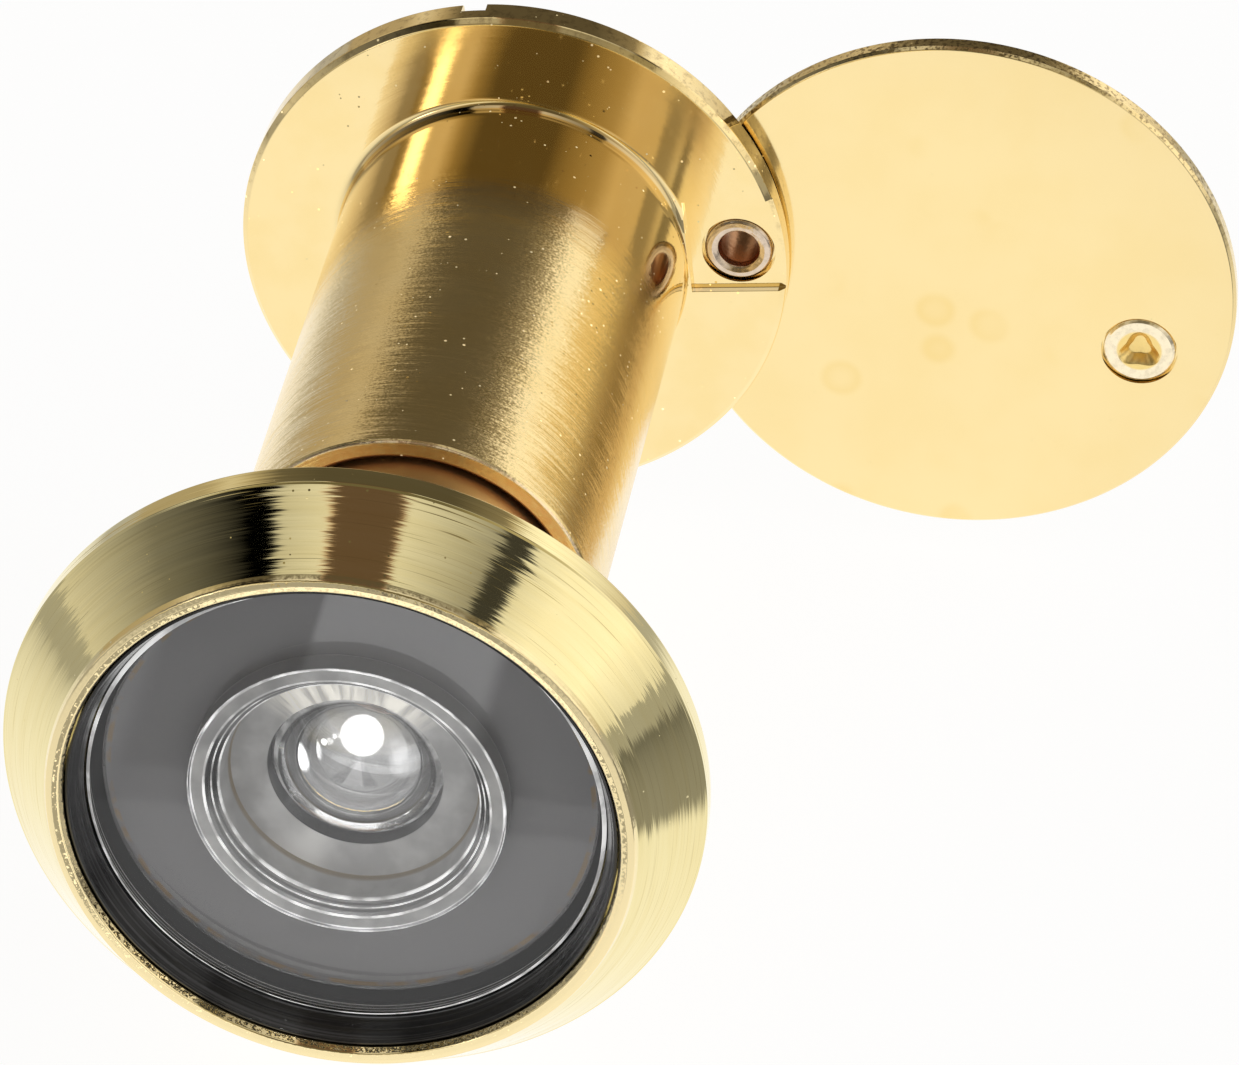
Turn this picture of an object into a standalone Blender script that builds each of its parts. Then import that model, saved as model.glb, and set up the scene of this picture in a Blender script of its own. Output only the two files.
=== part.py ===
"""Door viewer with a privacy cover, built in metres.

The viewing axis is parallel to Y. The outdoor lens faces -Y and the eyepiece faces +Y. Z is up.
Sizes below are in millimetres, measured from the viewing axis and from the flange face that
rests on the door. The origin of the frame is the middle of the whole part's bounding box.
"""
import math

import bmesh
import bpy

MM = 0.001

# Sleeve and its flange (indoor side).
FLANGE_R = 12.5
FLANGE_T = 1.5
TUBE_R = 8.0
TUBE_FILLET = 0.45
BORE_R = 7.1
MOUTH_Y = -27.1
EYE_POCKET_R = 6.5
EYE_WEB_REAR_Y = -2.6
EYE_WEB_FRONT_Y = -3.5
EYE_HOLE_R = 4.6

# Coin notches in the flange's indoor face.
NOTCH_ANGLE = 98.4
NOTCH_W = 1.1
NOTCH_D = 0.65
NOTCH_INNER_R = 9.8

# Cover pivot in the flange.
PIVOT_R = 10.365
PIVOT_ANGLE = 6.37
RECESS_D = 0.35
RECESS_W = 4.76
RECESS_OFFSET = 0.40
RECESS_GAP = 0.08
PIVOT_HOLE_R = 1.30
PIVOT_SINK_R = 1.68
PIVOT_SINK_D = 0.45

# Cover disc.
COVER_R = 12.75
COVER_T = 1.0
COVER_FRONT_Y = 1.72
COVER_X = 20.05
COVER_Z = -0.85
KNOB_DX = 8.45
KNOB_DZ = -2.52
KNOB_HOLE_R = 1.05
KNOB_SINK_R = 1.74
KNOB_SINK_D = 0.36

# Bezel with its barrel (outdoor side).
BEZEL_R = 14.82
BEZEL_REAR_Y = -39.0
RIM_FRONT_Y = -40.40
LIP_Y = -43.85
LIP_OUTER_R = 12.4
LIP_INNER_R = 11.62
POCKET_FLOOR_Y = -39.6
BARREL_R = 6.9
BARREL_BORE_R = 6.3
BARREL_END_Y = -17.0

# Optics in the barrel.
LENS_R = 10.9
LENS_FRONT_Y = -42.33
LENS_BACK_Y = -40.03
HOLLOW_R = 6.70
HOLLOW_Y = -41.78
HOLLOW_SAG = 0.15
DOME_R = 3.6
DOME_SAG = 1.6
DOME_RIM_Y = -39.1

KNOB_TOP = 3.7

FRAME_X = (COVER_X + COVER_R - BEZEL_R) / 2.0
FRAME_Y = (LIP_Y + COVER_FRONT_Y + COVER_T + KNOB_TOP) / 2.0

BIG = 64
MEDIUM = 44
SMALL = 28


def clear_scene():
    for obj in list(bpy.data.objects):
        bpy.data.objects.remove(obj, do_unlink=True)


def material(name, color, metallic, roughness, transmission=0.0, ior=1.5):
    mat = bpy.data.materials.new(name)
    mat.use_nodes = True
    shader = mat.node_tree.nodes["Principled BSDF"]
    shader.inputs["Base Color"].default_value = (color[0], color[1], color[2], 1.0)
    shader.inputs["Metallic"].default_value = metallic
    shader.inputs["Roughness"].default_value = roughness
    shader.inputs["Transmission Weight"].default_value = transmission
    shader.inputs["IOR"].default_value = ior
    return mat


def face_outward(bm):
    bmesh.ops.recalc_face_normals(bm, faces=bm.faces)
    if bm.calc_volume(signed=True) < 0.0:
        bmesh.ops.reverse_faces(bm, faces=bm.faces)


def smooth(mesh, angle=32.0):
    mesh.shade_smooth()
    mesh.set_sharp_from_angle(angle=math.radians(angle))


def lathe(name, profile, segments, centre=(0.0, 0.0), pivot=(0.0, 0.0, 0.0), phase=0.0):
    """Turn a profile of (radius, y) points about a line parallel to Y.

    A profile that begins and ends on the axis closes there. Any other profile is a closed loop.
    The object's origin is put at the pivot point.
    """
    bm = bmesh.new()
    rings = []
    for radius, y in profile:
        ring = []
        if radius == 0.0:
            ring.append(bm.verts.new(place(0.0, y, 0.0, centre, pivot)))
        else:
            for step in range(segments):
                angle = 2.0 * math.pi * step / segments + phase
                x = radius * math.cos(angle)
                z = radius * math.sin(angle)
                ring.append(bm.verts.new(place(x, y, z, centre, pivot)))
        rings.append(ring)
    pairs = list(zip(rings[:-1], rings[1:]))
    if profile[0][0] != 0.0:
        pairs.append((rings[-1], rings[0]))
    for first, second in pairs:
        join_rings(bm, first, second, segments)
    face_outward(bm)
    mesh = bpy.data.meshes.new(name)
    bm.to_mesh(mesh)
    bm.free()
    smooth(mesh)
    obj = bpy.data.objects.new(name, mesh)
    obj.location = frame_point(pivot)
    bpy.context.scene.collection.objects.link(obj)
    return obj


def frame_point(point):
    return ((point[0] - FRAME_X) * MM, (point[1] - FRAME_Y) * MM, point[2] * MM)


def place(x, y, z, centre, pivot):
    px = (x + centre[0] - pivot[0]) * MM
    py = (y - pivot[1]) * MM
    pz = (z + centre[1] - pivot[2]) * MM
    return (px, py, pz)


def join_rings(bm, first, second, segments):
    if len(first) == 1 and len(second) == 1:
        return
    for step in range(segments):
        after = (step + 1) % segments
        if len(first) == 1:
            bm.faces.new((first[0], second[step], second[after]))
        elif len(second) == 1:
            bm.faces.new((first[step], second[0], first[after]))
        else:
            bm.faces.new((first[step], second[step], second[after], first[after]))


def arc(centre_r, centre_y, radius, start, end, steps):
    """Points on an arc in the (radius, y) plane, angles in degrees from +radius toward +y."""
    points = []
    for step in range(steps + 1):
        angle = math.radians(start + (end - start) * step / steps)
        points.append((centre_r + radius * math.cos(angle), centre_y + radius * math.sin(angle)))
    return points


def dome(edge_r, edge_y, sag, steps, toward):
    """Spherical cap from its edge to its apex; toward is -1 or +1, the side the apex is on."""
    curve = (edge_r ** 2 + sag ** 2) / (2.0 * sag)
    points = []
    for step in range(steps):
        r = edge_r * (1.0 - step / steps)
        rise = math.sqrt(curve ** 2 - r ** 2) - math.sqrt(curve ** 2 - edge_r ** 2)
        points.append((r, edge_y + toward * rise))
    points.append((0.0, edge_y + toward * sag))
    return points


def block(name, size, centre, turn):
    """A box cutter, sized in millimetres and turned about Y by an angle in degrees."""
    bm = bmesh.new()
    bmesh.ops.create_cube(bm, size=1.0)
    for vert in bm.verts:
        x = vert.co.x * size[0] + centre[0]
        y = vert.co.y * size[1] + centre[1]
        z = vert.co.z * size[2] + centre[2]
        c = math.cos(math.radians(turn))
        s = math.sin(math.radians(turn))
        vert.co = ((x * c - z * s) * MM, y * MM, (x * s + z * c) * MM)
    face_outward(bm)
    mesh = bpy.data.meshes.new(name)
    bm.to_mesh(mesh)
    bm.free()
    obj = bpy.data.objects.new(name, mesh)
    obj.location = frame_point((0.0, 0.0, 0.0))
    bpy.context.scene.collection.objects.link(obj)
    return obj


def cut(target, cutter):
    cutter.hide_render = True
    cutter.display_type = "WIRE"
    modifier = target.modifiers.new("cut_" + cutter.name, "BOOLEAN")
    modifier.operation = "DIFFERENCE"
    modifier.solver = "EXACT"
    modifier.object = cutter


def paint(obj, mat):
    obj.data.materials.append(mat)


def pivot_point():
    angle = math.radians(PIVOT_ANGLE)
    return PIVOT_R * math.cos(angle), PIVOT_R * math.sin(angle)


def build_sleeve(mat):
    fillet_centre = TUBE_R + TUBE_FILLET
    fillet = arc(fillet_centre, -TUBE_FILLET, TUBE_FILLET, 180.0, 90.0, 4)
    profile = [
        (BORE_R + 0.15, MOUTH_Y),
        (TUBE_R - 0.16, MOUTH_Y),
        (TUBE_R, MOUTH_Y + 0.16),
        *fillet,
        (FLANGE_R - 0.28, 0.0),
        (FLANGE_R, 0.24),
        (FLANGE_R, FLANGE_T - 0.15),
        (FLANGE_R - 0.15, FLANGE_T),
        (EYE_POCKET_R + 0.3, FLANGE_T),
        (EYE_POCKET_R, FLANGE_T - 0.3),
        (EYE_POCKET_R, EYE_WEB_REAR_Y),
        (EYE_HOLE_R, EYE_WEB_REAR_Y),
        (EYE_HOLE_R, EYE_WEB_FRONT_Y),
        (BORE_R, EYE_WEB_FRONT_Y),
        (BORE_R, MOUTH_Y + 0.15),
    ]
    sleeve = lathe("sleeve", profile, BIG)
    paint(sleeve, mat)
    px, pz = pivot_point()
    inner = TUBE_R + RECESS_GAP
    outer = FLANGE_R + 1.0
    recess = block(
        "recess_cutter",
        (outer - inner, 1.0 + RECESS_D, RECESS_W),
        ((inner + outer) / 2.0, (RECESS_D - 1.0) / 2.0, RECESS_OFFSET),
        PIVOT_ANGLE,
    )
    cut(sleeve, recess)
    floor = RECESS_D
    hole_profile = [
        (0.0, -1.2),
        (PIVOT_SINK_R, -1.2),
        (PIVOT_SINK_R, floor + PIVOT_SINK_D),
        (PIVOT_HOLE_R, floor + PIVOT_SINK_D),
        (PIVOT_HOLE_R, FLANGE_T + 1.0),
        (0.0, FLANGE_T + 1.0),
    ]
    hole = lathe("pivot_hole_cutter", hole_profile, SMALL, centre=(px, pz))
    cut(sleeve, hole)
    for index, turn in enumerate((NOTCH_ANGLE, NOTCH_ANGLE + 180.0)):
        length = FLANGE_R + 1.0 - NOTCH_INNER_R
        notch = block(
            "notch_cutter_%d" % index,
            (length, NOTCH_D + 1.0, NOTCH_W),
            (NOTCH_INNER_R + length / 2.0, FLANGE_T - NOTCH_D / 2.0 + 0.5, 0.0),
            turn,
        )
        cut(sleeve, notch)


def build_eyepiece(glass, black):
    back = dome(5.6, -2.05, 0.45, 5, -1.0)
    back[-1] = (0.0, -2.5)
    front = dome(5.6, -0.75, 0.45, 5, 1.0)
    profile = list(reversed(back)) + [(6.35, -2.05), (6.35, -0.75)] + front
    lens = lathe("eyepiece_lens", profile, MEDIUM)
    paint(lens, glass)
    ring_profile = [
        (5.7, -0.70),
        (6.42, -0.70),
        (6.42, 1.05),
        (5.2, 1.05),
        (4.7, 0.75),
        (4.7, 0.15),
        (5.7, -0.15),
    ]
    ring = lathe("eyepiece_ring", ring_profile, MEDIUM)
    paint(ring, black)


def build_bezel(mat):
    profile = [
        (BARREL_R + 0.3, BEZEL_REAR_Y),
        (BEZEL_R - 0.3, BEZEL_REAR_Y),
        (BEZEL_R, BEZEL_REAR_Y - 0.3),
        (BEZEL_R, RIM_FRONT_Y + 0.08),
        (BEZEL_R - 0.07, RIM_FRONT_Y),
        (LIP_OUTER_R, LIP_Y + 0.38),
        (LIP_OUTER_R - 0.08, LIP_Y + 0.16),
        (LIP_OUTER_R - 0.22, LIP_Y + 0.03),
        (LIP_OUTER_R - 0.36, LIP_Y),
        (LIP_INNER_R + 0.2, LIP_Y + 0.05),
        (LIP_INNER_R + 0.06, LIP_Y + 0.18),
        (LIP_INNER_R, LIP_Y + 0.36),
        (LIP_INNER_R, POCKET_FLOOR_Y),
        (BARREL_BORE_R, POCKET_FLOOR_Y),
        (BARREL_BORE_R, BARREL_END_Y),
        (BARREL_R - 0.3, BARREL_END_Y),
        (BARREL_R, BARREL_END_Y - 0.3),
        (BARREL_R, BEZEL_REAR_Y + 0.3),
    ]
    bezel = lathe("bezel", profile, BIG)
    paint(bezel, mat)


def build_objective(glass, black, grey):
    holder_profile = [
        (LENS_R + 0.08, POCKET_FLOOR_Y - 0.05),
        (LIP_INNER_R - 0.08, POCKET_FLOOR_Y - 0.05),
        (LIP_INNER_R - 0.08, LIP_Y + 0.42),
        (LIP_INNER_R - 0.18, LIP_Y + 0.38),
        (LENS_R + 0.08, LENS_FRONT_Y - 0.02),
    ]
    holder = lathe("lens_holder", holder_profile, BIG)
    paint(holder, black)
    hollow = dome(HOLLOW_R, HOLLOW_Y, HOLLOW_SAG, 6, -1.0)
    profile = [
        (0.0, LENS_FRONT_Y),
        (LENS_R - 0.14, LENS_FRONT_Y),
        (LENS_R, LENS_FRONT_Y + 0.14),
        (LENS_R, LENS_BACK_Y - 0.5),
        (LENS_R - 0.54, LENS_BACK_Y),
        (HOLLOW_R, LENS_BACK_Y),
        *hollow,
    ]
    lens = lathe("objective_lens", profile, BIG)
    paint(lens, glass)
    seat_profile = [
        (6.7, POCKET_FLOOR_Y - 0.05),
        (LENS_R - 0.05, POCKET_FLOOR_Y - 0.05),
        (LENS_R - 0.05, LENS_BACK_Y + 0.04),
        (6.7, LENS_BACK_Y + 0.04),
    ]
    seat = lathe("lens_seat", seat_profile, BIG)
    paint(seat, grey)


def build_inner_optics(glass, grey, black):
    spacer_profile = [
        (6.02, -41.70),
        (6.62, -41.70),
        (6.62, -39.65),
        (6.2, -39.65),
        (6.2, -37.75),
        (4.9, -37.75),
        (4.9, -38.92),
        (3.75, -38.92),
        (3.75, -39.74),
        (5.31, -39.88),
        (5.51, -41.19),
        (5.66, -41.24),
        (5.68, -41.38),
        (5.84, -41.43),
        (5.86, -41.58),
    ]
    spacer = lathe("front_spacer", spacer_profile, MEDIUM)
    paint(spacer, grey)
    front = dome(DOME_R, DOME_RIM_Y, DOME_SAG, 7, -1.0)
    hollow = dome(2.7, -37.8, 1.35, 5, -1.0)
    lens_profile = list(reversed(front)) + [(DOME_R, -38.87), (4.8, -38.87), (4.8, -37.8)] + hollow
    second = lathe("second_lens", lens_profile, MEDIUM)
    paint(second, glass)
    middle_profile = [
        (4.3, -37.7),
        (6.2, -37.7),
        (6.2, -33.6),
        (5.2, -33.6),
        (5.2, -36.9),
        (4.3, -36.9),
    ]
    middle = lathe("middle_spacer", middle_profile, MEDIUM)
    paint(middle, black)
    hollow = dome(4.6, -33.5, 0.9, 5, 1.0)
    hollow = list(reversed(hollow))
    back = dome(4.6, -31.0, 0.9, 5, -1.0)
    third_profile = hollow + [(6.15, -33.5), (6.15, -31.0)] + back
    third = lathe("third_lens", third_profile, MEDIUM)
    paint(third, glass)
    ring_profile = [
        (4.8, -30.95),
        (6.2, -30.95),
        (6.2, -29.3),
        (5.2, -29.3),
        (4.8, -29.7),
    ]
    ring = lathe("barrel_ring", ring_profile, MEDIUM)
    paint(ring, black)


def build_cover(brass, pale):
    px, pz = pivot_point()
    pivot = (px, COVER_FRONT_Y + COVER_T / 2.0, pz)
    rear = COVER_FRONT_Y + COVER_T
    profile = [
        (0.0, COVER_FRONT_Y),
        (COVER_R - 0.14, COVER_FRONT_Y),
        (COVER_R, COVER_FRONT_Y + 0.14),
        (COVER_R, rear - 0.22),
        (COVER_R - 0.22, rear),
        (0.0, rear),
    ]
    cover = lathe("cover_disc", profile, BIG, centre=(COVER_X, COVER_Z), pivot=pivot)
    paint(cover, brass)
    hole_profile = [
        (0.0, COVER_FRONT_Y - 1.0),
        (PIVOT_HOLE_R, COVER_FRONT_Y - 1.0),
        (PIVOT_HOLE_R, rear + 1.0),
        (0.0, rear + 1.0),
    ]
    hole = lathe("cover_pivot_cutter", hole_profile, SMALL, centre=(px, pz))
    cut(cover, hole)
    knob_centre = (COVER_X + KNOB_DX, COVER_Z + KNOB_DZ)
    sink_profile = [
        (0.0, COVER_FRONT_Y - 1.0),
        (KNOB_SINK_R, COVER_FRONT_Y - 1.0),
        (KNOB_SINK_R, COVER_FRONT_Y + KNOB_SINK_D),
        (KNOB_HOLE_R + 0.22, COVER_FRONT_Y + KNOB_SINK_D),
        (KNOB_HOLE_R + 0.22, rear + 1.0),
        (0.0, rear + 1.0),
    ]
    sink = lathe("knob_hole_cutter", sink_profile, SMALL, centre=knob_centre)
    cut(cover, sink)
    knob_profile = [
        (0.0, COVER_FRONT_Y + 0.55),
        (0.55, COVER_FRONT_Y + 0.50),
        (0.92, COVER_FRONT_Y + 0.10),
        (1.02, COVER_FRONT_Y + 0.02),
        (1.50, COVER_FRONT_Y + 0.02),
        (1.64, COVER_FRONT_Y + 0.10),
        (1.64, COVER_FRONT_Y + 0.30),
        (1.18, COVER_FRONT_Y + 0.30),
        (1.18, rear + 0.08),
        (1.95, rear + 0.08),
        (2.10, rear + 0.25),
        (1.75, rear + 1.30),
        (1.75, rear + 1.70),
        (2.30, rear + 2.70),
        (2.30, rear + 3.15),
        (1.90, rear + 3.55),
        (0.0, rear + KNOB_TOP),
    ]
    knob = lathe("pull_knob", knob_profile, SMALL, centre=knob_centre, pivot=pivot)
    paint(knob, pale)
    washer_profile = [
        (PIVOT_HOLE_R, rear + 0.06),
        (2.15, rear + 0.06),
        (2.15, rear + 0.26),
        (PIVOT_HOLE_R, rear + 0.26),
    ]
    washer = lathe("pivot_washer", washer_profile, SMALL, centre=(px, pz), pivot=pivot)
    paint(washer, pale)


def build_pivot_rivet(mat):
    px, pz = pivot_point()
    rear = COVER_FRONT_Y + COVER_T
    sink = RECESS_D + PIVOT_SINK_D
    profile = [
        (0.86, rear + 0.92),
        (0.86, 0.75),
        (0.95, 0.45),
        (1.02, RECESS_D + 0.06),
        (1.20, RECESS_D - 0.02),
        (1.42, RECESS_D + 0.02),
        (1.55, RECESS_D + 0.14),
        (1.55, sink - 0.12),
        (1.22, sink - 0.04),
        (1.22, rear + 0.32),
        (2.15, rear + 0.32),
        (2.30, rear + 0.48),
        (2.05, rear + 0.86),
        (1.45, rear + 1.00),
        (1.00, rear + 1.00),
    ]
    rivet = lathe("pivot_rivet", profile, SMALL, centre=(px, pz), pivot=(px, 0.0, pz))
    paint(rivet, mat)


def build():
    clear_scene()
    brass = material("polished_brass", (0.86, 0.62, 0.24), 1.0, 0.16)
    bezel_brass = material("turned_brass", (0.80, 0.66, 0.32), 1.0, 0.2)
    cover_brass = material("cover_brass", (0.90, 0.70, 0.34), 1.0, 0.14)
    pale = material("pale_brass", (0.78, 0.70, 0.52), 1.0, 0.3)
    glass = material("clear_glass", (1.0, 1.0, 1.0), 0.0, 0.0, 1.0, 1.52)
    black = material("black_plastic", (0.012, 0.012, 0.013), 0.0, 0.2)
    grey = material("dark_grey_plastic", (0.10, 0.10, 0.105), 0.0, 0.4)
    build_sleeve(brass)
    build_eyepiece(glass, black)
    build_bezel(bezel_brass)
    build_objective(glass, black, grey)
    build_inner_optics(glass, grey, black)
    build_cover(cover_brass, pale)
    build_pivot_rivet(pale)


build()
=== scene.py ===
"""Visual model of the door viewer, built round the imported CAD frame.

Sizes are in millimetres from the viewing axis and from the flange face that rests on the door,
as in the CAD. to_frame() turns them into the frame's metres.
"""
import functools
import math

import bmesh
import bpy
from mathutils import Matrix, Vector


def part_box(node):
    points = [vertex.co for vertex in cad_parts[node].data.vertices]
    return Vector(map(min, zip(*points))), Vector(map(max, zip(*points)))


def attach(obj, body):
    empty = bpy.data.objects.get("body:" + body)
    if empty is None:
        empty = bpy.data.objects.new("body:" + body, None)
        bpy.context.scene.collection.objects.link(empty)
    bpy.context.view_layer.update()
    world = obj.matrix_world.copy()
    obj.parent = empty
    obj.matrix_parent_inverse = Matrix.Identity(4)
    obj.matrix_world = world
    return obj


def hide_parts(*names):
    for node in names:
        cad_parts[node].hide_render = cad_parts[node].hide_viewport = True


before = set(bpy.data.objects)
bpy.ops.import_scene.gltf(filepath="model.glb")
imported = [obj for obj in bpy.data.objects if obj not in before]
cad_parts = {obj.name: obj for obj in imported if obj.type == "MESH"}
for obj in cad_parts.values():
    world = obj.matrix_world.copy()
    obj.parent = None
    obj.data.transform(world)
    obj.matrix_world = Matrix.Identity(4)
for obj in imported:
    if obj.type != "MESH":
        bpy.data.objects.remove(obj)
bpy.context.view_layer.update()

MM = 0.001
FLANGE_T = 1.5
FLANGE_R = 12.5
TUBE_R = 8.0
MOUTH_Y = -27.1
POLISH_ENDS_Y = -9.3
RECESS_DEPTH = 0.35
BEZEL_BACK_Y = -39.0

BEZEL_LO, BEZEL_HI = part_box("bezel")
SLEEVE_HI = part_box("sleeve")[1]
COVER_LO, COVER_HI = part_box("cover_disc")
KNOB_LO, KNOB_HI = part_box("pull_knob")
PIVOT_LO, PIVOT_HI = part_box("pivot_rivet")

ORIGIN_X = (BEZEL_LO.x + BEZEL_HI.x) / 2.0
ORIGIN_Y = SLEEVE_HI.y - FLANGE_T * MM
ORIGIN_Z = (BEZEL_LO.z + BEZEL_HI.z) / 2.0

# Segments round a turned piece.
HUGE = 320
BIG = 256
MEDIUM = 160
SMALL = 96

# A profile point nearer the axis than this is one point on the axis, not a ring.
ON_AXIS = 1e-6
# Edges that turn more than this many degrees stay sharp in shading.
SHARP_TURNED = 30.0
SHARP_CARVED = 25.0


def to_frame(x, y, z):
    return Vector((ORIGIN_X + x * MM, ORIGIN_Y + y * MM, ORIGIN_Z + z * MM))


def centre_of(lo, hi):
    """Centre of a round piece in the XZ plane, in millimetres from the viewing axis."""
    x = ((lo.x + hi.x) / 2.0 - ORIGIN_X) / MM
    z = ((lo.z + hi.z) / 2.0 - ORIGIN_Z) / MM
    return x, z


AXIS = (0.0, 0.0)
COVER_AT = centre_of(COVER_LO, COVER_HI)
KNOB_AT = centre_of(KNOB_LO, KNOB_HI)
PIVOT_AT = centre_of(PIVOT_LO, PIVOT_HI)


# ---------------------------------------------------------------- shapes

def add_object(name, data):
    obj = bpy.data.objects.new(name, data)
    bpy.context.scene.collection.objects.link(obj)
    return obj


def guard(spot, side):
    """A point just past a fillet's end, which keeps the flat beside it shading flat."""
    spot = spot + side.normalized() * min(0.03, side.length * 0.004)
    return spot.x, spot.y


def soften(points, closed=True, steps=5):
    """Round the corners of a profile. A point is (radius, y) or (radius, y, fillet)."""
    out = []
    count = len(points)
    for i, point in enumerate(points):
        fillet = point[2] if len(point) > 2 else 0.0
        inner = closed or 0 < i < count - 1
        if fillet <= 0.0 or not inner:
            out.append((point[0], point[1]))
            continue
        here = Vector(point[:2])
        before = Vector(points[i - 1][:2]) - here
        after = Vector(points[(i + 1) % count][:2]) - here
        opening = before.angle(after)
        nearly_half = 0.49 * min(before.length, after.length)
        reach = min(fillet / math.tan(opening / 2.0), nearly_half)
        start = here + before.normalized() * reach
        end = here + after.normalized() * reach
        out.append(guard(start, before))
        for step in range(steps + 1):
            t = step / steps
            spot = start * (1.0 - t) ** 2 + here * 2.0 * t * (1.0 - t) + end * t ** 2
            out.append((spot.x, spot.y))
        out.append(guard(end, after))
    return out


def dome(edge_r, edge_y, sag, steps, toward):
    """Spherical cap from its edge to its apex; toward is the sign of the side it bulges to."""
    curve = (edge_r ** 2 + sag ** 2) / (2.0 * sag)
    base = math.sqrt(curve ** 2 - edge_r ** 2)
    points = []
    for step in range(steps):
        r = edge_r * (1.0 - step / steps)
        points.append((r, edge_y + toward * (math.sqrt(curve ** 2 - r ** 2) - base)))
    points.append((0.0, edge_y + toward * sag))
    return points


def lathe(name, profile, segments, centre=AXIS):
    """Turn a profile of (radius, y) round a centre. One that starts off the axis is closed."""
    bm = bmesh.new()
    rings = []
    for radius, y in profile:
        if radius < ON_AXIS:
            rings.append([bm.verts.new(to_frame(centre[0], y, centre[1]))])
            continue
        ring = []
        for step in range(segments):
            angle = 2.0 * math.pi * step / segments
            x = centre[0] + radius * math.cos(angle)
            z = centre[1] + radius * math.sin(angle)
            ring.append(bm.verts.new(to_frame(x, y, z)))
        rings.append(ring)
    pairs = list(zip(rings[:-1], rings[1:]))
    if profile[0][0] >= ON_AXIS:
        pairs.append((rings[-1], rings[0]))
    for first, second in pairs:
        bridge(bm, first, second, segments)
    return finish_mesh(name, bm)


def bridge(bm, first, second, segments):
    if len(first) == 1 and len(second) == 1:
        return
    for step in range(segments):
        after = (step + 1) % segments
        if len(first) == 1:
            bm.faces.new((first[0], second[step], second[after]))
        elif len(second) == 1:
            bm.faces.new((first[step], second[0], first[after]))
        else:
            bm.faces.new((first[step], second[step], second[after], first[after]))


def finish_mesh(name, bm):
    bmesh.ops.recalc_face_normals(bm, faces=bm.faces)
    if bm.calc_volume(signed=True) < 0.0:
        bmesh.ops.reverse_faces(bm, faces=bm.faces)
    mesh = bpy.data.meshes.new(name)
    bm.to_mesh(mesh)
    bm.free()
    mesh.shade_smooth()
    mesh.set_sharp_from_angle(angle=math.radians(SHARP_TURNED))
    return add_object(name, mesh)


def block(name, size, centre, turn):
    """A box for cutting, in millimetres, turned about the viewing axis by degrees."""
    bm = bmesh.new()
    bmesh.ops.create_cube(bm, size=1.0)
    c = math.cos(math.radians(turn))
    s = math.sin(math.radians(turn))
    for vert in bm.verts:
        x = vert.co.x * size[0] + centre[0]
        y = vert.co.y * size[1] + centre[1]
        z = vert.co.z * size[2] + centre[2]
        vert.co = to_frame(x * c - z * s, y, x * s + z * c)
    return finish_mesh(name, bm)


def carve(target, cutters, edge):
    """Cut the shapes out of the target for good, then bevel the new edges by edge millimetres."""
    for cutter in cutters:
        modifier = target.modifiers.new("cut", "BOOLEAN")
        modifier.operation = "DIFFERENCE"
        modifier.solver = "EXACT"
        modifier.object = cutter
    bevel = target.modifiers.new("edge", "BEVEL")
    bevel.width = edge * MM
    bevel.segments = 1
    bevel.limit_method = "ANGLE"
    bevel.angle_limit = math.radians(50.0)
    bpy.context.view_layer.update()
    graph = bpy.context.evaluated_depsgraph_get()
    mesh = bpy.data.meshes.new_from_object(target.evaluated_get(graph))
    mesh.name = target.name
    target.modifiers.clear()
    target.data = mesh
    mesh.shade_smooth()
    mesh.set_sharp_from_angle(angle=math.radians(SHARP_CARVED))
    for cutter in cutters:
        bpy.data.objects.remove(cutter, do_unlink=True)


def lobes(obj, centre, reach, back_y):
    """Press the round dimple at the front of a rivet, down to back_y, into three lobes."""
    middle = to_frame(centre[0], 0.0, centre[1])
    for vert in obj.data.vertices:
        x = (vert.co.x - middle.x) / MM
        z = (vert.co.z - middle.z) / MM
        y = (vert.co.y - middle.y) / MM
        radius = math.hypot(x, z)
        if y > back_y or radius > reach or radius < ON_AXIS:
            continue
        from_top = math.atan2(z, x) - math.radians(90.0)
        scale = 1.0 - 0.30 * (0.5 - 0.5 * math.cos(3.0 * from_top))
        vert.co.x = middle.x + x * scale * MM
        vert.co.z = middle.z + z * scale * MM
    obj.data.update()


def stand_in(obj, node, body, mat):
    obj.data.materials.clear()
    obj.data.materials.append(mat)
    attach(obj, body)
    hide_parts(node)


# ---------------------------------------------------------------- materials

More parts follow.
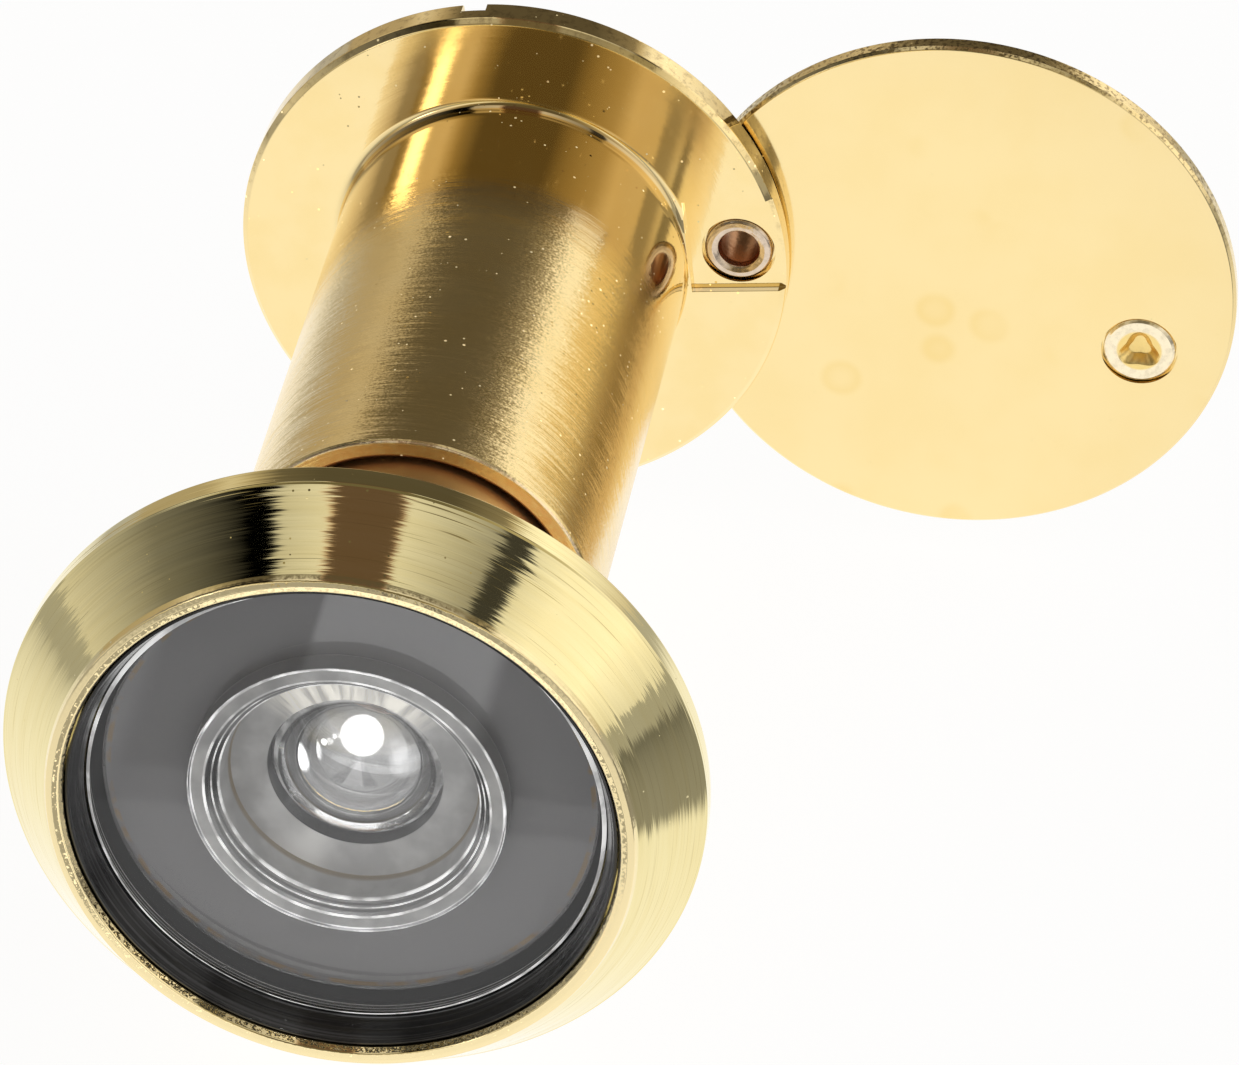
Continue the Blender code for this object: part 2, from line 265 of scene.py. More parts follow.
class Graph:
    """Short names for building a node tree."""

    def __init__(self, tree):
        self.tree = tree

    def node(self, kind, **settings):
        made = self.tree.nodes.new(kind)
        for key, value in settings.items():
            setattr(made, key, value)
        return made

    def put(self, socket, value):
        if isinstance(value, bpy.types.NodeSocket):
            self.tree.links.new(value, socket)
        elif value is not None:
            socket.default_value = value

    def math(self, operation, a, b=None, c=None, clamp=False):
        made = self.node("ShaderNodeMath", operation=operation, use_clamp=clamp)
        for socket, value in zip(made.inputs, (a, b, c)):
            self.put(socket, value)
        return made.outputs[0]

    def fold(self, operation, values):
        """Join the values one after the other by an operation of two inputs."""
        return functools.reduce(lambda a, b: self.math(operation, a, b), values)

    def plus(self, *values):
        return self.fold("ADD", values)

    def times(self, *values):
        return self.fold("MULTIPLY", values)

    def largest(self, *values):
        return self.fold("MAXIMUM", values)

    def above(self, value, low):
        return self.math("GREATER_THAN", value, low)

    def below(self, value, high):
        return self.math("LESS_THAN", value, high)

    def between(self, value, low, high):
        return self.times(self.above(value, low), self.below(value, high))

    def window(self, value, opens, opened, closes, closed):
        """0, rising to 1 from opens to opened, and falling back to 0 from closes to closed."""
        rising = self.ramp(value, opens, opened)
        return self.times(rising, self.ramp(value, closes, closed, 1.0, 0.0))

    def vector(self, operation, a, b=None):
        made = self.node("ShaderNodeVectorMath", operation=operation)
        self.put(made.inputs[0], a)
        self.put(made.inputs[1], b)
        return made.outputs["Value" if operation in ("DOT_PRODUCT", "LENGTH") else "Vector"]

    def scaled(self, vector, factor):
        made = self.node("ShaderNodeVectorMath", operation="SCALE")
        self.put(made.inputs[0], vector)
        self.put(made.inputs["Scale"], factor)
        return made.outputs["Vector"]

    def combine(self, x, y, z):
        made = self.node("ShaderNodeCombineXYZ")
        for socket, value in zip(made.inputs, (x, y, z)):
            self.put(socket, value)
        return made.outputs[0]

    def split(self, vector):
        made = self.node("ShaderNodeSeparateXYZ")
        self.put(made.inputs[0], vector)
        return made.outputs

    def noise(self, vector, scale, detail=2.0, rough=0.5):
        made = self.node("ShaderNodeTexNoise")
        self.put(made.inputs["Vector"], vector)
        made.inputs["Scale"].default_value = scale
        made.inputs["Detail"].default_value = detail
        made.inputs["Roughness"].default_value = rough
        return made.outputs["Fac"]

    def ramp(self, value, low, high, start=0.0, end=1.0, smooth=True):
        made = self.node("ShaderNodeMapRange", clamp=True)
        if smooth:
            made.interpolation_type = "SMOOTHSTEP"
        for socket, setting in zip(made.inputs, (value, low, high, start, end)):
            self.put(socket, setting)
        return made.outputs[0]

    def mix(self, factor, a, b):
        made = self.node("ShaderNodeMix", data_type="RGBA")
        self.put(made.inputs[0], factor)
        self.put(made.inputs[6], rgba(a))
        self.put(made.inputs[7], rgba(b))
        return made.outputs[2]


def rgba(colour):
    if isinstance(colour, (tuple, list)) and len(colour) == 3:
        return (colour[0], colour[1], colour[2], 1.0)
    return colour


def times_each(colour, factor):
    return tuple(channel * factor for channel in colour)


def new_material(name):
    mat = bpy.data.materials.new(name)
    mat.use_nodes = True
    shader = mat.node_tree.nodes["Principled BSDF"]
    return mat, Graph(mat.node_tree), shader


def from_point(g, point):
    """The place on the surface in millimetres from a point of the frame."""
    here = g.node("ShaderNodeTexCoord").outputs["Object"]
    return g.vector("MULTIPLY", g.vector("SUBTRACT", here, tuple(point)), (1.0 / MM,) * 3)


def polar(g, centre=AXIS):
    """Sockets for a turned piece, in mm: place, x, y, z, radius, cos, sin, and radius plus y."""
    local = from_point(g, to_frame(centre[0], 0.0, centre[1]))
    x, y, z = g.split(local)
    radius = g.math("SQRT", g.plus(g.times(x, x), g.times(z, z)))
    safe = g.math("MAXIMUM", radius, 0.05)
    return {
        "place": local, "x": x, "y": y, "z": z, "radius": radius,
        "cos": g.math("DIVIDE", x, safe), "sin": g.math("DIVIDE", z, safe),
        "along": g.plus(radius, y),
    }


def round_lines(g, p, turns, pitch, detail=3.0, shift=0.0):
    """Noise that is long round the axis and short across: the marks a lathe or brush leaves."""
    vector = g.combine(
        g.math("MULTIPLY_ADD", p["cos"], turns, shift),
        g.times(p["along"], pitch),
        g.times(p["sin"], turns),
    )
    return g.noise(vector, 1.0, detail, 0.6)


def centred(g, value, scale):
    """A 0 to 1 value turned into one spread evenly about zero."""
    return g.math("MULTIPLY_ADD", value, scale, -0.5 * scale)


def leaned_normal(g, p, around, across):
    """The surface normal leaned round the axis and across the marks, by sockets in radians."""
    tangent = g.combine(g.times(p["sin"], -1.0), 0.0, p["cos"])
    turned = g.node("ShaderNodeVectorTransform", vector_type="VECTOR")
    turned.convert_from = "OBJECT"
    turned.convert_to = "WORLD"
    g.put(turned.inputs[0], tangent)
    tangent = turned.outputs[0]
    normal = g.node("ShaderNodeNewGeometry").outputs["Normal"]
    side = g.vector("CROSS_PRODUCT", normal, tangent)
    lean = g.vector("ADD", g.scaled(tangent, around), g.scaled(side, across))
    return g.vector("NORMALIZE", g.vector("ADD", normal, lean))


def cells(g, vector, scale):
    made = g.node("ShaderNodeTexVoronoi")
    g.put(made.inputs["Vector"], vector)
    made.inputs["Scale"].default_value = scale
    return made.outputs


def specks(g, p, per_mm, size):
    """Tiny pits: 1 inside a pit, and a value from 0 to 1 that is each pit's own."""
    made = cells(g, p["place"], per_mm)
    patchy = g.noise(p["place"], 0.6, 2.0)
    reach = g.ramp(patchy, 0.40, 0.70, 0.02, size)
    return g.below(made["Distance"], reach), g.split(made["Color"])[0]


def glow(g, shader, colour, strength):
    g.put(shader.inputs["Emission Color"], rgba(colour))
    g.put(shader.inputs["Emission Strength"], strength)


def metal(name, centre=AXIS):
    mat, g, shader = new_material(name)
    shader.inputs["Metallic"].default_value = 1.0
    return mat, g, shader, polar(g, centre)


PLATE = (0.95, 0.755, 0.385)
PLATE_DEEP = (0.91, 0.68, 0.28)
PLATE_PIT = (0.40, 0.28, 0.12)
# Painted shade for the tube's right side.
TUBE_SIDE_PAINTED_SHADE = (0.60, 0.39, 0.12)
# Painted shade for the top of the tube, near the flange.
TUBE_ROOT_PAINTED_SHADE = (0.60, 0.44, 0.22)
FLANGE_DENT = (0.34, 0.24, 0.11)
COVER_DENT = (0.34, 0.25, 0.13)
HOLE_SHADE = (0.16, 0.10, 0.05)
GOLD_GLINT = (1.0, 0.82, 0.46)
GREENED = (0.92, 0.80, 0.43)
GREENED_DEEP = (0.86, 0.72, 0.34)
GREENED_LINE = (0.62, 0.50, 0.24)
LIP_GOLD = (0.97, 0.80, 0.46)
BARREL_TAN = (0.94, 0.69, 0.37)
COPPER = (0.95, 0.70, 0.42)
COPPER_PALE = (0.97, 0.80, 0.52)
BROWNED = (0.52, 0.27, 0.13)
RIVET_RING = (0.74, 0.60, 0.46)
KNOB_RING = (1.0, 0.87, 0.62)
KNOB_HOLE = (0.96, 0.72, 0.28)
WHITE = (1.0, 1.0, 1.0)
# White of the painted glints and bright lines on the front glass.
GLINT_WHITE = (0.95, 0.95, 0.95)
GREY_SHADE = (0.245, 0.242, 0.250)
NEAR_BLACK = (0.02, 0.02, 0.02)
BLACKEST = (0.01, 0.01, 0.01)

GLASS_IOR = 1.52
COATING_IOR = 2.2

# How strongly the brightest lines and specks shine by themselves.
GLINT_GLOW = 0.55


def sleeve_brass():
    """Polished flange and root, then a satin tube; bare coppery metal at the mouth and bore."""
    mat, g, shader, p = metal("sleeve_plating")
    wander = centred(g, g.noise(p["place"], 0.9, 3.0), 1.2)
    along = g.plus(p["y"], wander)
    satin = g.ramp(along, POLISH_ENDS_Y - 0.3, POLISH_ENDS_Y + 5.3, 1.0, 0.0)
    inside = g.times(g.below(p["radius"], 7.3), g.below(p["y"], -3.4))
    pivot = (PIVOT_AT[0], 0.0, PIVOT_AT[1])
    from_pivot = g.vector("LENGTH", g.vector("SUBTRACT", p["place"], pivot))
    pits, tilt = specks(g, p, 2.4, 0.16)
    g.put(shader.inputs["Normal"], sleeve_normal(g, p, satin, pits, tilt))
    g.put(shader.inputs["Base Color"], sleeve_colour(g, p, along, inside, from_pivot))
    rough = g.math("MULTIPLY_ADD", satin, 0.17, 0.07)
    g.put(shader.inputs["Roughness"], g.largest(rough, g.times(inside, 0.35)))
    # Painted glints: the recess's step faces and the most tilted pits glow gold.
    glowing_recess_walls = g.times(
        g.window(p["radius"], 8.3, 8.35, FLANGE_R - 0.35, FLANGE_R - 0.30),
        g.between(p["y"], 0.04, RECESS_DEPTH - 0.04),
        g.ramp(from_pivot, 1.9, 2.0),
    )
    glinting_pits = g.times(pits, g.above(tilt, 0.45))
    glow(g, shader, GOLD_GLINT, g.times(g.largest(glowing_recess_walls, glinting_pits), GLINT_GLOW))
    return mat


def sleeve_normal(g, p, satin, pits, tilt):
    """Brush lines and grit, strong on the satin part and faint on the polish, and leaning pits."""
    fine = round_lines(g, p, 3.2, 15.0, 3.0)
    worn = g.ramp(p["y"], -11.0, -25.0, 0.42, 0.85)
    grit = g.noise(p["place"], 9.0, 2.0)
    coarse = round_lines(g, p, 3.0, 3.2, 2.0, 4.0)
    across = g.times(g.math("SUBTRACT", fine, 0.5), worn)
    across = g.plus(across, centred(g, coarse, 0.10))
    across = g.times(across, g.math("MULTIPLY_ADD", satin, 0.92, 0.08))
    across = g.plus(across, g.times(pits, centred(g, tilt, 2.4)))
    around = g.times(centred(g, grit, 0.34), g.math("MULTIPLY_ADD", satin, 0.96, 0.04))
    return leaned_normal(g, p, around, across)


def sleeve_colour(g, p, along, inside, from_pivot):
    """Gold, with painted shade at the tube's right and root; bare at the mouth, dented at the
    flange's top; painted shade in the pivot hole.
    """
    cloud = g.ramp(g.noise(p["place"], 0.4, 3.0), 0.35, 0.7, 0.0, 0.35)
    colour = g.mix(cloud, PLATE, PLATE_DEEP)
    tube = g.times(g.below(p["radius"], TUBE_R + 0.2), g.below(p["y"], 0.0))
    # Painted shade: a darker, deeper gold down the tube's right side.
    side = g.times(
        g.ramp(p["cos"], 0.77, 0.90),
        g.ramp(p["cos"], 0.95, 1.0, 1.0, 0.2),
        g.ramp(p["y"], -8.0, -2.0, 0.9, 0.0),
    )
    colour = g.mix(g.times(side, tube), colour, TUBE_SIDE_PAINTED_SHADE)
    # Painted shade: browner gold on the tube's top, near the flange.
    root = g.times(
        tube,
        g.ramp(p["sin"], 0.30, 0.75),
        g.ramp(along, POLISH_ENDS_Y - 0.5, POLISH_ENDS_Y + 3.0, 0.0, 0.85),
    )
    colour = g.mix(root, colour, TUBE_ROOT_PAINTED_SHADE)
    mouth = g.times(
        g.ramp(p["y"], MOUTH_Y + 0.08, MOUTH_Y + 0.20, 1.0, 0.0),
        g.ramp(p["radius"], TUBE_R - 0.08, TUBE_R - 0.03, 1.0, 0.0),
    )
    burr = g.ramp(g.noise(p["place"], 3.0, 3.0), 0.35, 0.7)
    colour = g.mix(mouth, colour, g.mix(burr, COPPER, COPPER_PALE))
    rim = g.times(g.ramp(p["radius"], FLANGE_R - 0.30, FLANGE_R - 0.15), g.ramp(p["sin"], 0.0, 0.4))
    dents = g.ramp(g.noise(p["place"], 2.6, 5.0, 0.65), 0.46, 0.72)
    colour = g.mix(g.times(rim, dents, 0.6), colour, FLANGE_DENT)
    colour = g.mix(inside, colour, BROWNED)
    hole = g.times(
        g.ramp(from_pivot, 1.70, 1.80, 1.0, 0.0),
        g.ramp(p["y"], RECESS_DEPTH + 0.01, RECESS_DEPTH + 0.07),
        g.ramp(g.math("SUBTRACT", p["z"], PIVOT_AT[1]), -0.9, 0.1),
    )
    return g.mix(hole, colour, HOLE_SHADE)


def bezel_brass():
    """Turned and polished face with drawn lines round it, and a browned barrel."""
    mat, g, shader, p = metal("bezel_plating")
    wide = round_lines(g, p, 1.1, 2.2, 2.0)
    line = round_lines(g, p, 1.6, 7.5, 3.0, 7.0)
    hair = round_lines(g, p, 3.5, 21.0, 2.0, 3.0)
    sparse = g.ramp(round_lines(g, p, 2.2, 11.0, 1.0, 11.0), 0.62, 0.70)
    patch = g.ramp(round_lines(g, p, 1.3, 0.5, 2.0, 5.0), 0.35, 0.65, 0.35, 1.0)
    face = g.ramp(p["radius"], 12.2, 12.5)
    around = g.times(g.plus(centred(g, line, 0.16), centred(g, hair, 0.12)), patch, face)
    across = g.plus(centred(g, hair, 0.30), centred(g, wide, 0.05), g.times(sparse, 0.22))
    across = g.times(across, patch, g.ramp(face, 0.0, 1.0, 0.25, 1.0))
    pits, tilt = specks(g, p, 2.0, 0.11)
    lip = g.times(g.ramp(p["radius"], 12.3, 12.45, 1.0, 0.0), g.ramp(p["y"], -43.3, -43.5))
    nicks = g.noise(p["place"], 5.5, 3.0, 0.6)
    across = g.plus(
        across,
        g.times(pits, centred(g, tilt, 1.4)),
        g.times(lip, centred(g, nicks, 0.45)),
    )
    g.put(shader.inputs["Normal"], leaned_normal(g, p, around, across))
    cloud = g.ramp(round_lines(g, p, 1.4, 1.2, 3.0, 2.0), 0.35, 0.7, 0.0, 0.5)
    colour = g.mix(cloud, GREENED, GREENED_DEEP)
    colour = g.mix(g.times(sparse, 0.35), colour, GREENED_LINE)
    colour = g.mix(g.times(lip, 0.8), colour, LIP_GOLD)
    barrel = g.times(g.below(p["radius"], 7.15), g.above(p["y"], BEZEL_BACK_Y - 0.7))
    g.put(shader.inputs["Base Color"], g.mix(barrel, colour, BARREL_TAN))
    g.put(shader.inputs["Roughness"], g.math("MULTIPLY_ADD", barrel, 0.34, 0.06))
    return mat


def cover_brass():
    """Polished sheet with faint dried water marks and a coarser cut rim."""
    mat, g, shader, p = metal("cover_plating", COVER_AT)
    flat = g.vector("MULTIPLY", p["place"], (1.0, 0.0, 1.0))
    out = cells(g, flat, 0.30)["Distance"]
    ring = g.times(g.ramp(out, 0.20, 0.34, 1.0, 0.0), g.ramp(out, 0.05, 0.30, 0.35, 1.0))
    marks = g.times(ring, g.ramp(g.noise(flat, 0.13, 2.0), 0.48, 0.60), 0.7)
    drift = g.ramp(g.noise(flat, 0.22, 3.0), 0.35, 0.7, 0.0, 0.25)
    colour = g.mix(g.plus(drift, marks), PLATE, PLATE_DEEP)
    pits, _ = specks(g, p, 1.7, 0.05)
    colour = g.mix(g.times(pits, 0.5), colour, PLATE_PIT)
    rim = g.ramp(p["radius"], 12.55, 12.68)
    worn = g.times(rim, g.ramp(p["sin"], 0.1, 0.6))
    rind = g.noise(p["place"], 5.0, 3.0)
    dull = g.times(worn, g.ramp(rind, 0.5, 0.62), 0.8)
    g.put(shader.inputs["Base Color"], g.mix(dull, colour, COVER_DENT))
    ripple = centred(g, g.noise(flat, 0.5, 2.0), 0.02)
    across = g.plus(ripple, g.times(worn, centred(g, rind, 0.5)))
    g.put(shader.inputs["Normal"], leaned_normal(g, p, ripple, across))
    g.put(shader.inputs["Roughness"], g.math("MULTIPLY_ADD", rim, 0.08, 0.10))
    return mat


def rivet_brass(name, centre, hole, inner, ring):
    """Turned ring of one colour, with another down its hole."""
    mat, g, shader, p = metal(name, centre)
    deep = g.times(
        g.ramp(p["radius"], hole - 0.06, hole + 0.06, 1.0, 0.0),
        g.ramp(p["y"], 0.30, 0.75),
        g.below(p["y"], 3.7),
    )
    grime = g.ramp(g.noise(p["place"], 3.0, 3.0), 0.4, 0.7, 0.0, 0.6)
    colour = g.mix(grime, ring, times_each(ring, 0.75))
    g.put(shader.inputs["Base Color"], g.mix(deep, colour, inner))
    lines = centred(g, round_lines(g, p, 2.0, 10.0), 0.35)
    grit = centred(g, g.noise(p["place"], 6.0, 2.0), 0.30)
    g.put(shader.inputs["Normal"], leaned_normal(g, p, grit, lines))
    g.put(shader.inputs["Roughness"], g.math("MULTIPLY_ADD", deep, 0.12, 0.22))
    return mat


def clear_glass():
    mat, g, shader = new_material("clear_glass")
    p = polar(g)
    shader.inputs["Base Color"].default_value = rgba(WHITE)
    shader.inputs["IOR"].default_value = GLASS_IOR
    shader.inputs["Transmission Weight"].default_value = 1.0
    film = g.ramp(g.noise(p["place"], 0.5, 3.0), 0.5, 0.8, 0.0, 0.015)
    g.put(shader.inputs["Roughness"], film)
    return mat


# Bands where the front glass's blacked edge is white, painted to show as bright refraction lines,
# from low to high along y.
EDGE_BRIGHT_LINES = [(-41.05, -40.93), (-41.38, -41.32), (-41.72, -41.60), (-42.02, -41.97)]
EDGE_ENDS_Y = -42.16


def objective_glass():
    """Clear disc: a blacked edge with white lines painted on as bright refraction lines, a glowing
    outline and hollow rim painted as glints, and the hollow's wall painted lighter grey against its
    shade.
    """
    mat, g, shader = new_material("objective_glass_clear")
    p = polar(g)
    lines = g.largest(*[g.between(p["y"], low, high) for low, high in EDGE_BRIGHT_LINES])
    edge = g.times(g.above(p["radius"], 10.45), g.above(p["y"], EDGE_ENDS_Y))
    wall = g.times(g.between(p["radius"], 6.66, 6.74), g.above(p["y"], -41.79))
    chips = g.ramp(g.noise(p["place"], 1.6, 3.0), 0.40, 0.62, 0.35, 1.0)
    # Painted glint: a broken white line along the front end of the hollow's wall.
    top = g.times(wall, g.below(p["y"], -41.70), chips)
    broken = g.ramp(g.noise(p["place"], 0.4, 4.0), 0.40, 0.60, 0.30, 1.0)
    # Painted highlight: a broken white outline round the glass's front edge.
    outline = g.times(g.above(p["radius"], 10.74), g.below(p["y"], EDGE_ENDS_Y), broken)
    bright = g.largest(top, outline)
    painted = g.largest(edge, wall, outline)
    colour = g.mix(edge, WHITE, NEAR_BLACK)
    # Painted light: the hollow's wall is 2.2 times the seat's grey, lightened against the shade it
    # lies in.
    colour = g.mix(wall, colour, times_each(GREY_SHADE, 2.2))
    colour = g.mix(bright, colour, GLINT_WHITE)
    # Painted highlight: the white lines on the blacked edge.
    colour = g.mix(g.times(edge, lines), colour, GLINT_WHITE)
    g.put(shader.inputs["Base Color"], colour)
    g.put(shader.inputs["Transmission Weight"], g.math("SUBTRACT", 1.0, painted, clamp=True))
    g.put(shader.inputs["Roughness"], g.times(painted, 0.4))
    shader.inputs["IOR"].default_value = GLASS_IOR
    # Painted glow on these glints.
    glow(g, shader, WHITE, g.times(bright, GLINT_GLOW))
    return mat


def second_glass():
    """Domed lens: a strong coating reflection, and a whitish ground edge at its foot that glows as
    a painted glint.
    """
    mat, g, shader = new_material("second_glass_clear")
    p = polar(g)
    worn = g.ramp(g.noise(p["place"], 1.1, 3.0), 0.35, 0.6, 0.35, 0.9)
    # Painted glint: a white, glowing ring round the dome's foot.
    foot = g.times(g.ramp(p["radius"], 3.32, 3.44), g.below(p["y"], -38.9), worn)
    g.put(shader.inputs["Transmission Weight"], g.math("SUBTRACT", 0.97, foot, clamp=True))
    shader.inputs["Base Color"].default_value = rgba(WHITE)
    shader.inputs["IOR"].default_value = GLASS_IOR
    shader.inputs["Roughness"].default_value = 0.0
    shader.inputs["Coat Weight"].default_value = 1.0
    shader.inputs["Coat IOR"].default_value = COATING_IOR
    shader.inputs["Coat Roughness"].default_value = 0.02
    glow(g, shader, WHITE, g.times(foot, 0.3))
    return mat


# The cup's edges that carry painted glints, as radius and half width.
CUP_GLINT_EDGES = [(5.53, 0.05), (5.77, 0.04), (6.03, 0.07), (6.60, 0.06)]


def spacer_grey():
    """Grey cup round the second lens: stepped rim with painted glints on its edges; a shelf with a
    painted streaky reflection at its top and a painted highlight at its bottom left; painted shadow
    in its gaps; a faint glow all over.
    """
    mat, g, shader = new_material("spacer_grey")
    p = polar(g)
    radius, y = p["radius"], p["y"]
    smudge = g.ramp(g.noise(p["place"], 0.5, 3.0), 0.3, 0.7)
    colour = g.mix(smudge, (0.42, 0.42, 0.425), (0.62, 0.62, 0.625))
    spokes = g.combine(g.times(p["cos"], 14.0), g.times(p["sin"], 14.0), g.times(radius, 0.4))
    streak = g.ramp(g.noise(spokes, 1.0, 3.0), 0.30, 0.60, 0.35, 1.0)
    shelf = g.below(radius, 5.30)
    # Painted reflection: a cream, streaky band on the shelf's top part, which also glows.
    painted_shelf_reflection = g.times(shelf, g.times(g.ramp(p["sin"], 0.55, 0.92), streak))
    # Painted highlight: light grey on the shelf's bottom left.
    painted_shelf_highlight = g.times(g.ramp(p["sin"], -0.55, -0.85), g.window(p["cos"], -0.75, -0.45, -0.45, -0.15))
    colour = g.mix(painted_shelf_reflection, colour, (1.0, 0.97, 0.88))
    colour = g.mix(g.times(shelf, painted_shelf_highlight), colour, (0.88, 0.88, 0.88))
    colour = g.mix(g.window(radius, 5.27, 5.30, 5.33, 5.36), colour, (0.34, 0.28, 0.20))
    steps = g.times(g.ramp(radius, 5.52, 5.54), g.below(y, -41.10))
    colour = g.mix(steps, colour, (0.24, 0.24, 0.245))
    # Painted shadow: black in the stepped wall at the left and right, as dark gaps.
    side_shadow = g.ramp(g.math("ABSOLUTE", p["cos"]), 0.86, 0.94)
    side_shadow = g.times(side_shadow, g.ramp(p["sin"], -0.30, -0.05))
    colour = g.mix(g.times(side_shadow, steps), colour, BLACKEST)
    rim = g.times(g.above(radius, 6.0), g.below(y, -41.5))
    colour = g.mix(rim, colour, g.mix(smudge, (0.40, 0.40, 0.41), (0.66, 0.66, 0.66)))
    front = g.below(y, -41.0)
    chips = g.ramp(g.noise(p["place"], 0.7, 4.0), 0.38, 0.62, 0.25, 1.0)
    # Painted glints: white, glowing lines on the cup's edges.
    glints = []
    for edge, half in CUP_GLINT_EDGES:
        near = g.math("ABSOLUTE", g.math("SUBTRACT", radius, edge))
        glints.append(g.times(g.ramp(near, half * 0.6, half, 1.0, 0.0), front, chips))
        colour = g.mix(glints[-1], colour, (0.97, 0.97, 0.97))
    # Painted shadow: near black on the cup's inner wall round the second lens, in the gap beside
    # it.
    deep = g.times(g.below(radius, 3.80), g.above(y, -39.70))
    colour = g.mix(deep, colour, (0.03, 0.03, 0.03))
    # Painted glow: strong on the edge glints, faint over the whole cup, and on the shelf's
    # reflection.
    strength = g.math("MULTIPLY_ADD", g.largest(*glints), 0.65, 0.09)
    g.put(shader.inputs["Base Color"], colour)
    glow(g, shader, colour, g.math("MULTIPLY_ADD", painted_shelf_reflection, 0.34, strength))
    shader.inputs["Roughness"].default_value = 0.30
    return mat


def black_moulded():
    """Glossy black with fine lines drawn round it, as in turned or moulded plastic."""
    mat, g, shader = new_material("black_plastic")
    p = polar(g)
    drawn = g.ramp(round_lines(g, p, 0.5, 8.0, 2.0, 2.0), 0.50, 0.68)
    black = (0.020, 0.020, 0.021)
    g.put(shader.inputs["Base Color"], g.mix(drawn, black, times_each(black, 5.0)))
    mottle = g.noise(p["place"], 3.0, 3.0)
    g.put(shader.inputs["Roughness"], g.math("MULTIPLY_ADD", mottle, 0.08, 0.10))
    lines = centred(g, round_lines(g, p, 0.6, 7.0, 2.0), 0.60)
    g.put(shader.inputs["Normal"], leaned_normal(g, p, 0.0, lines))
    return mat


def seat_grey():
    """Dark grey annulus with a thin brown line round its outer edge."""
    mat, g, shader = new_material("seat_grey")
    p = polar(g)
    line = g.times(
        g.window(p["radius"], 10.05, 10.15, 10.28, 10.35),
        g.ramp(g.noise(p["place"], 0.9, 3.0), 0.42, 0.58),
        0.8,
    )
    colour = g.mix(line, GREY_SHADE, (0.34, 0.22, 0.09))
    outer = g.ramp(p["radius"], 10.3, 10.4)
    g.put(shader.inputs["Base Color"], g.mix(outer, colour, BLACKEST))
    shader.inputs["Roughness"].default_value = 0.45
    return mat


SLEEVE_BRASS = sleeve_brass()
BEZEL_BRASS = bezel_brass()
COVER_BRASS = cover_brass()
PALE_BRASS = rivet_brass("rivet_metal", PIVOT_AT, 0.98, BROWNED, RIVET_RING)
KNOB_BRASS = rivet_brass("knob_metal", KNOB_AT, 1.02, KNOB_HOLE, KNOB_RING)
CLEAR = clear_glass()
OBJECTIVE = objective_glass()
SECOND = second_glass()
BLACK = black_moulded()
GREY = seat_grey()
PALE_GREY = spacer_grey()


# ---------------------------------------------------------------- pieces

def build_sleeve():
    profile = soften([
        (7.25, MOUTH_Y, 0.05),
        (7.86, MOUTH_Y, 0.08),
        (TUBE_R, -26.94, 0.08),
        (TUBE_R, 0.0, 0.45),
        (12.25, 0.0, 0.12),
        (FLANGE_R, 0.24, 0.12),
        (FLANGE_R, 1.38, 0.10),
        (12.38, FLANGE_T, 0.10),
        (6.8, FLANGE_T, 0.15),
        (6.5, 1.2, 0.15),
        (6.5, -2.6),
        (4.6, -2.6, 0.1),
        (4.6, -3.5, 0.1),
        (7.1, -3.5),
        (7.1, -26.95, 0.05),
    ])
    sleeve = lathe("sleeve_shell", profile, BIG)
    recess_middle_y = (RECESS_DEPTH - 1.0) / 2.0
    recess = block(
        "recess_tool", (5.42, RECESS_DEPTH + 1.0, 4.76), (10.79, recess_middle_y, 0.40), 6.37,
    )
    hole = lathe("pivot_tool", [
        (0.0, -1.2), (1.68, -1.2), (1.68, 0.80), (1.30, 0.80), (1.30, 2.5), (0.0, 2.5),
    ], SMALL, PIVOT_AT)
    cutters = [recess, hole]
    for turn in (98.4, 278.4):
        cutters.append(block("notch_tool", (3.7, 1.65, 1.1), (11.65, 1.675, 0.0), turn))
    carve(sleeve, cutters, 0.035)
    stand_in(sleeve, "sleeve", "indoor_set", SLEEVE_BRASS)


def build_eyepiece():
    back = dome(5.6, -2.05, 0.45, 16, -1.0)
    front = dome(5.6, -0.75, 0.45, 16, 1.0)
    profile = list(reversed(back)) + [(6.35, -2.05), (6.35, -0.75)] + front
    lens = lathe("eyepiece_glass", profile, MEDIUM)
    stand_in(lens, "eyepiece_lens", "indoor_set", CLEAR)
    ring = lathe("eyepiece_retainer", soften([
        (5.7, -0.70),
        (6.42, -0.70),
        (6.42, 1.05, 0.10),
        (5.2, 1.05, 0.15),
        (4.7, 0.75, 0.15),
        (4.7, 0.15, 0.15),
        (5.7, -0.15),
    ]), MEDIUM)
    stand_in(ring, "eyepiece_ring", "indoor_set", BLACK)


def build_bezel():
    bezel = lathe("bezel_turned", soften([
        (7.2, BEZEL_BACK_Y, 0.1),
        (14.52, BEZEL_BACK_Y, 0.15),
        (14.82, -39.3, 0.15),
        (14.82, -40.34, 0.05),
        (14.73, -40.42, 0.05),
        (12.42, -43.46, 0.10),
        (12.30, -43.78, 0.14),
        (12.04, -43.85, 0.16),
        (11.76, -43.80, 0.12),
        (11.62, -43.50, 0.10),
        (11.62, -39.6),
        (6.3, -39.6),
        (6.3, -17.0, 0.05),
        (6.6, -17.0, 0.05),
        (6.9, -17.3, 0.05),
        (6.9, -38.7, 0.1),
    ]), HUGE)
    stand_in(bezel, "bezel", "bezel_set", BEZEL_BRASS)


